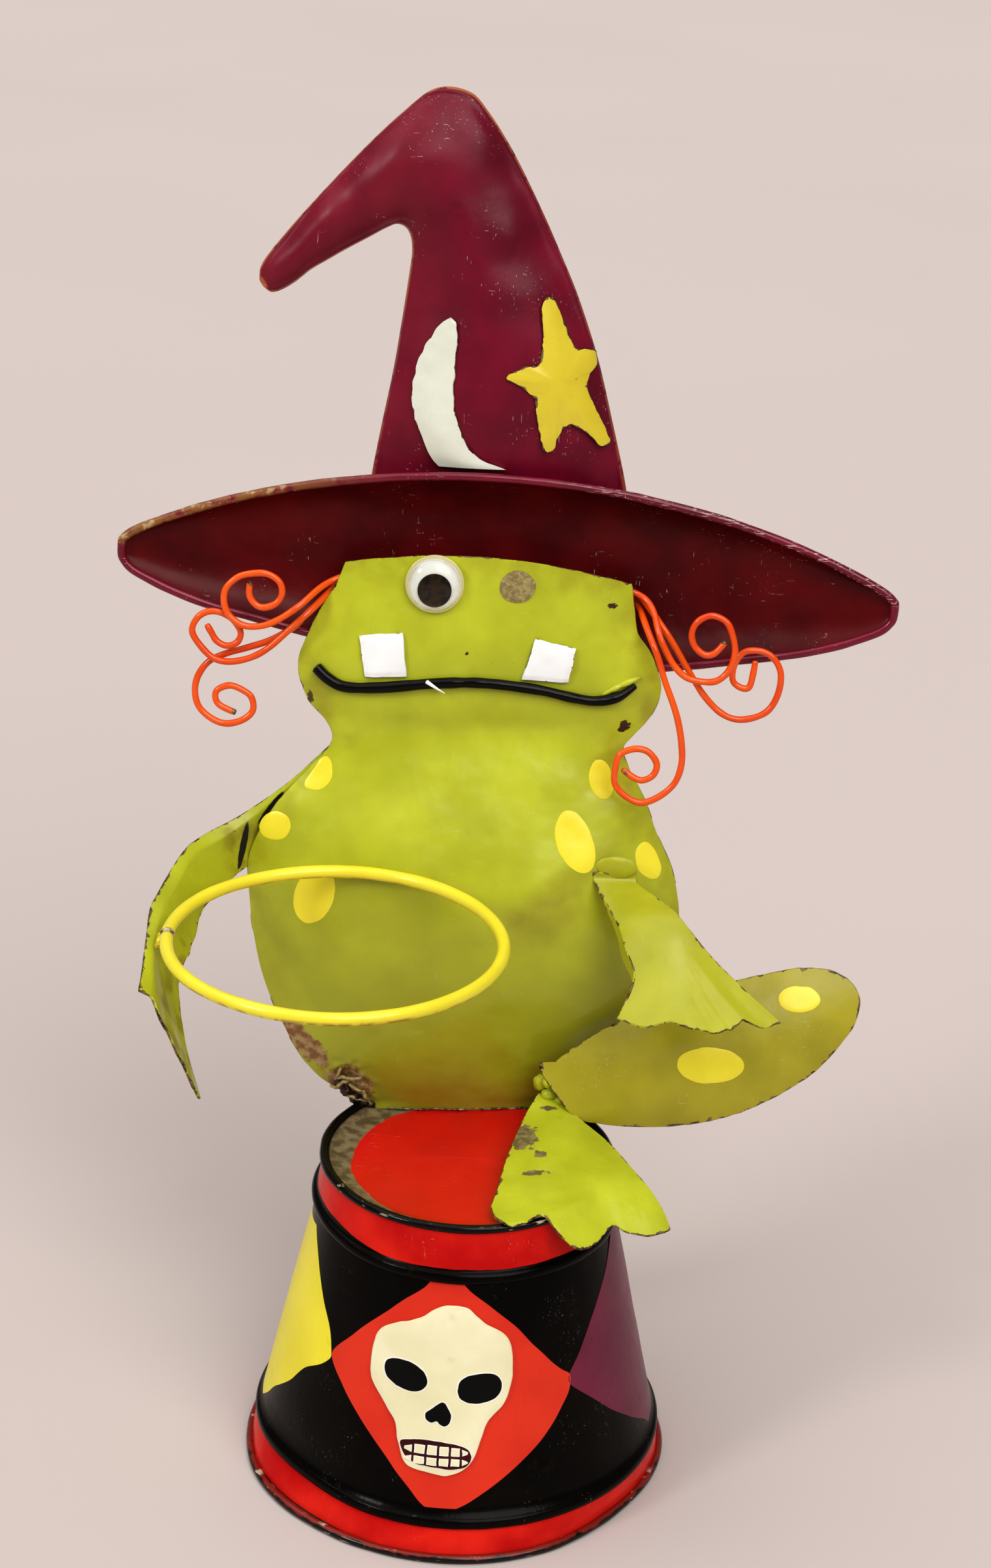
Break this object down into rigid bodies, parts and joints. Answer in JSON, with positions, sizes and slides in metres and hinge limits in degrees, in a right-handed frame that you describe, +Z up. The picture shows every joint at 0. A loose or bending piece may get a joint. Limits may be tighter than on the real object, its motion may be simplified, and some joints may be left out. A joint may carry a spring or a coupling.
{
  "type": "sheet-metal frog figure",
  "caption": "Painted sheet-metal frog in a pointed witch hat, sitting on an upturned tin drum and holding out a wire hoop for a small cup.",
  "frame": {"origin": "centre of the drum's foot, on the surface that the object stands on", "axes": "+Z up, -Y is the front that the frog faces, +X to the right of a viewer in front"},
  "size_m": [0.2681, 0.1822, 0.4639],
  "materials": {
    "drum_enamel": "gloss",
    "red_enamel": "gloss",
    "black_enamel": "gloss",
    "cream_enamel": "gloss",
    "green_enamel": "gloss",
    "weld_metal": "rough",
    "yellow_enamel": "gloss",
    "white_enamel": "gloss",
    "eye_white": "gloss",
    "eye_clear": "clear",
    "pupil_black": "gloss",
    "old_glue": "matte",
    "maroon_enamel": "gloss",
    "ivory_enamel": "gloss",
    "star_enamel": "gloss",
    "orange_enamel": "gloss"
  },
  "bodies": {
    "figure": {"drum_wall": "drum_enamel", "drum_top_disc": "red_enamel", "drum_top_rim": "black_enamel", "drum_foot_rim": "black_enamel", "skull_plate": "cream_enamel", "body_plate": "green_enamel", "body_seat_weld": "weld_metal", "leg_stub": "weld_metal", "arm_plate": "green_enamel", "shoulder_weld": "weld_metal", "hoop": "yellow_enamel", "hoop_weld": "weld_metal", "hand_plate": "green_enamel", "hand_weld": "green_enamel", "thigh_plate": "green_enamel", "foot_plate": "green_enamel", "thigh_weld": "green_enamel", "mouth_wire": "black_enamel", "tooth_left": "white_enamel", "tooth_right": "white_enamel", "eye_back": "eye_white", "eye_dome": "eye_clear", "eye_glue_spot": "old_glue", "hat_brim": "maroon_enamel", "brim_rim": "maroon_enamel", "hat_crown": "maroon_enamel", "crown_weld": "maroon_enamel", "moon_plate": "ivory_enamel", "star_plate": "star_enamel", "hair_left_a": "orange_enamel", "hair_left_b": "orange_enamel", "hair_left_c": "orange_enamel", "hair_right_a": "orange_enamel", "hair_right_b": "orange_enamel", "hair_right_c": "orange_enamel", "hair_weld_left": "green_enamel", "hair_weld_right": "green_enamel"},
    "pupil": {"eye_pupil": "pupil_black"}
  },
  "joints": [
    {"name": "pupil_roll", "type": "hinge", "parent": "figure", "child": "pupil", "pos_m": [-0.0195, 0.05428, 0.30517], "axis": [0, -0.9903, 0.1392], "continuous": true}
  ]
}
